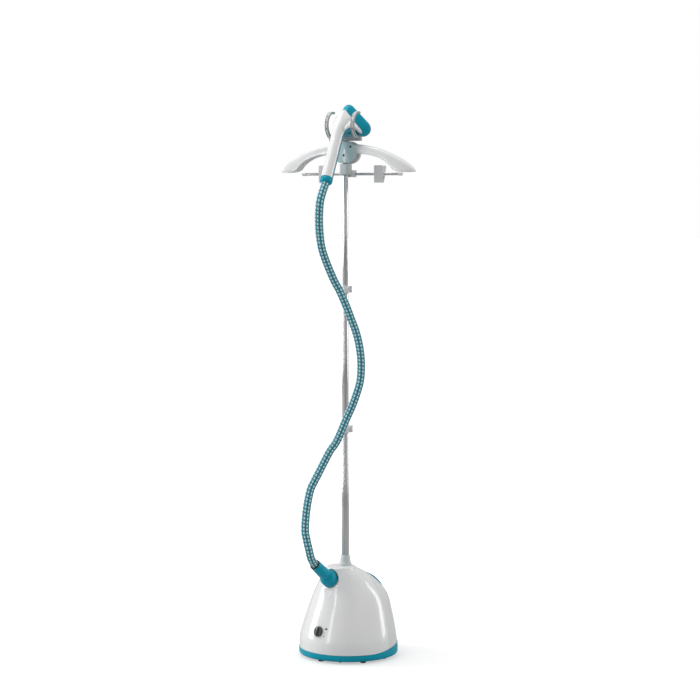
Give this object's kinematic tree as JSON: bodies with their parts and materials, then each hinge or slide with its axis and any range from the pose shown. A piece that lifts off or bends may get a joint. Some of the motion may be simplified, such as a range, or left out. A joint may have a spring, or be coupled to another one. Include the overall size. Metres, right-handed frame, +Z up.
{
  "type": "garment steamer",
  "caption": "Upright garment steamer: water base with lift-off tank, telescopic pole, turning hanger with folding wings and clips, and a cradled steam handset on a woven hose.",
  "frame": {"origin": "centre of the round base on the floor", "axes": "+Z up the pole, -Y towards the front of the base, where the knob and the hose outlet are"},
  "size_m": [0.4124, 0.348, 1.5981],
  "materials": {
    "teal_plastic": "gloss moulded",
    "white_plastic": "gloss moulded",
    "pale_plastic": "satin moulded",
    "hub_plastic": "satin moulded, grey green",
    "hook_plastic": "satin moulded, grey",
    "dark_plastic": "fine grained",
    "rubber": "matte",
    "steel_tube": "polished steel tube",
    "steel_small": "plain",
    "cast_aluminium": "as cast",
    "plate_metal": "satin plate",
    "hose_fabric": "woven cover with pale dashes"
  },
  "bodies": {
    "base": {"base_tray": "teal_plastic", "base_feet": "rubber", "base_screws": "steel_small", "front_housing": "white_plastic", "inner_wall": "pale_plastic", "pole_socket": "pale_plastic", "boiler": "cast_aluminium", "heating_element": "steel_small", "steam_pipe": "steel_small", "inlet_tube": "rubber", "valve_seat": "pale_plastic", "thermostat": "dark_plastic", "thermal_fuse": "steel_small", "power_switch": "dark_plastic", "knob_bezel": "pale_plastic", "cord_gland": "dark_plastic", "outlet_port": "pale_plastic", "hose_sleeve": "teal_plastic", "hose": "hose_fabric", "tube_lower": "steel_tube", "clamp_lower_collar": "white_plastic"},
    "nut": {"hose_nut": "teal_plastic"},
    "knob": {"control_knob": "dark_plastic"},
    "tank": {"water_tank": "white_plastic", "tank_handle": "teal_plastic"},
    "cap": {"tank_cap": "teal_plastic"},
    "valve": {"tank_valve": "dark_plastic"},
    "lower_lever": {"clamp_lower_lever": "white_plastic"},
    "middle_pole": {"tube_middle": "steel_tube", "glide_lower": "dark_plastic", "clamp_upper_collar": "white_plastic"},
    "upper_lever": {"clamp_upper_lever": "white_plastic"},
    "upper_pole": {"tube_upper": "steel_tube", "glide_upper": "dark_plastic"},
    "hanger": {"hanger_neck": "white_plastic", "hub_front": "hub_plastic", "hub_rear": "white_plastic", "hub_screws": "steel_small", "wing_pins": "steel_small", "hook_bar": "dark_plastic", "hook_left": "hook_plastic", "hook_right": "hook_plastic", "trouser_bar": "steel_tube", "bar_caps": "white_plastic"},
    "left_wing": {"wing_left": "white_plastic"},
    "right_wing": {"wing_right": "white_plastic"},
    "left_clip": {"clip_left_front": "white_plastic"},
    "left_jaw": {"clip_left_jaw": "white_plastic"},
    "right_clip": {"clip_right_front": "white_plastic"},
    "right_jaw": {"clip_right_jaw": "white_plastic"},
    "handset": {"handset_top": "white_plastic", "handset_bottom": "teal_plastic", "handset_cuff": "teal_plastic", "handset_pipe": "steel_small", "steam_head": "teal_plastic", "steam_plate": "plate_metal"}
  },
  "joints": [
    {"name": "nut_turn", "type": "hinge", "parent": "base", "child": "nut", "pos_m": [0, -0.089, 0.236], "axis": [0, -0.7804, 0.6252], "range_deg": [0, 120]},
    {"name": "knob_turn", "type": "hinge", "parent": "base", "child": "knob", "pos_m": [0, -0.1328, 0.087], "axis": [0, -0.9511, 0.309], "range_deg": [-60, 60]},
    {"name": "tank_lift", "type": "slide", "parent": "base", "child": "tank", "axis": [0, 0, 1], "range_m": [0, 0.16]},
    {"name": "cap_turn", "type": "hinge", "parent": "tank", "child": "cap", "pos_m": [0, 0.075, 0.031], "axis": [0, 0, -1], "range_deg": [0, 90]},
    {"name": "valve_press", "type": "slide", "parent": "cap", "child": "valve", "axis": [0, 0, 1], "range_m": [0, 0.004], "stiffness_N_per_m": 150, "springref_m": -0.003},
    {"name": "lower_lever_flip", "type": "hinge", "parent": "base", "child": "lower_lever", "pos_m": [0.01394, -0.0023, 0.663], "axis": [0, 0, 1], "range_deg": [0, 80]},
    {"name": "pole_slide", "type": "slide", "parent": "base", "child": "middle_pole", "axis": [0, 0, 1], "range_m": [-0.3, 0], "deforming": ["hose"]},
    {"name": "upper_lever_flip", "type": "hinge", "parent": "middle_pole", "child": "upper_lever", "pos_m": [0.01264, -0.00339, 1.068], "axis": [0, 0, 1], "range_deg": [0, 80]},
    {"name": "upper_slide", "type": "slide", "parent": "middle_pole", "child": "upper_pole", "axis": [0, 0, 1], "range_m": [-0.3, 0]},
    {"name": "hanger_swivel", "type": "hinge", "parent": "upper_pole", "child": "hanger", "pos_m": [0, -0.014, 1.4], "axis": [0, 0, 1], "range_deg": [-30, 30]},
    {"name": "left_wing_fold", "type": "hinge", "parent": "hanger", "child": "left_wing", "pos_m": [-0.02744, -0.01204, 1.47], "axis": [0.2588, -0.9659, 0], "range_deg": [0, 60]},
    {"name": "right_wing_fold", "type": "hinge", "parent": "hanger", "child": "right_wing", "pos_m": [0.02278, 0.00142, 1.47], "axis": [-0.2588, 0.9659, 0], "range_deg": [0, 60]},
    {"name": "left_clip_slide", "type": "slide", "parent": "hanger", "child": "left_clip", "axis": [0.9659, 0.2588, 0], "range_m": [-0.04, 0.05]},
    {"name": "right_clip_slide", "type": "slide", "parent": "hanger", "child": "right_clip", "axis": [0.9659, 0.2588, 0], "range_m": [-0.05, 0.04]},
    {"name": "left_jaw_open", "type": "hinge", "parent": "left_clip", "child": "left_jaw", "pos_m": [-0.09665, 0.00669, 1.399], "axis": [0.9659, 0.2588, 0], "range_deg": [0, 18], "stiffness_Nm_per_rad": 0.2, "springref_deg": -17.19},
    {"name": "right_jaw_open", "type": "hinge", "parent": "right_clip", "child": "right_jaw", "pos_m": [0.07336, 0.05224, 1.399], "axis": [0.9659, 0.2588, 0], "range_deg": [0, 18], "stiffness_Nm_per_rad": 0.2, "springref_deg": -17.19},
    {"name": "handset_lift", "type": "slide", "parent": "hanger", "child": "handset", "axis": [-0.1294, 0.483, 0.866], "range_m": [0, 0.12]}
  ],
  "couplings": [
    {"joint": "upper_slide", "follows": "pole_slide", "ratio": 1}
  ]
}
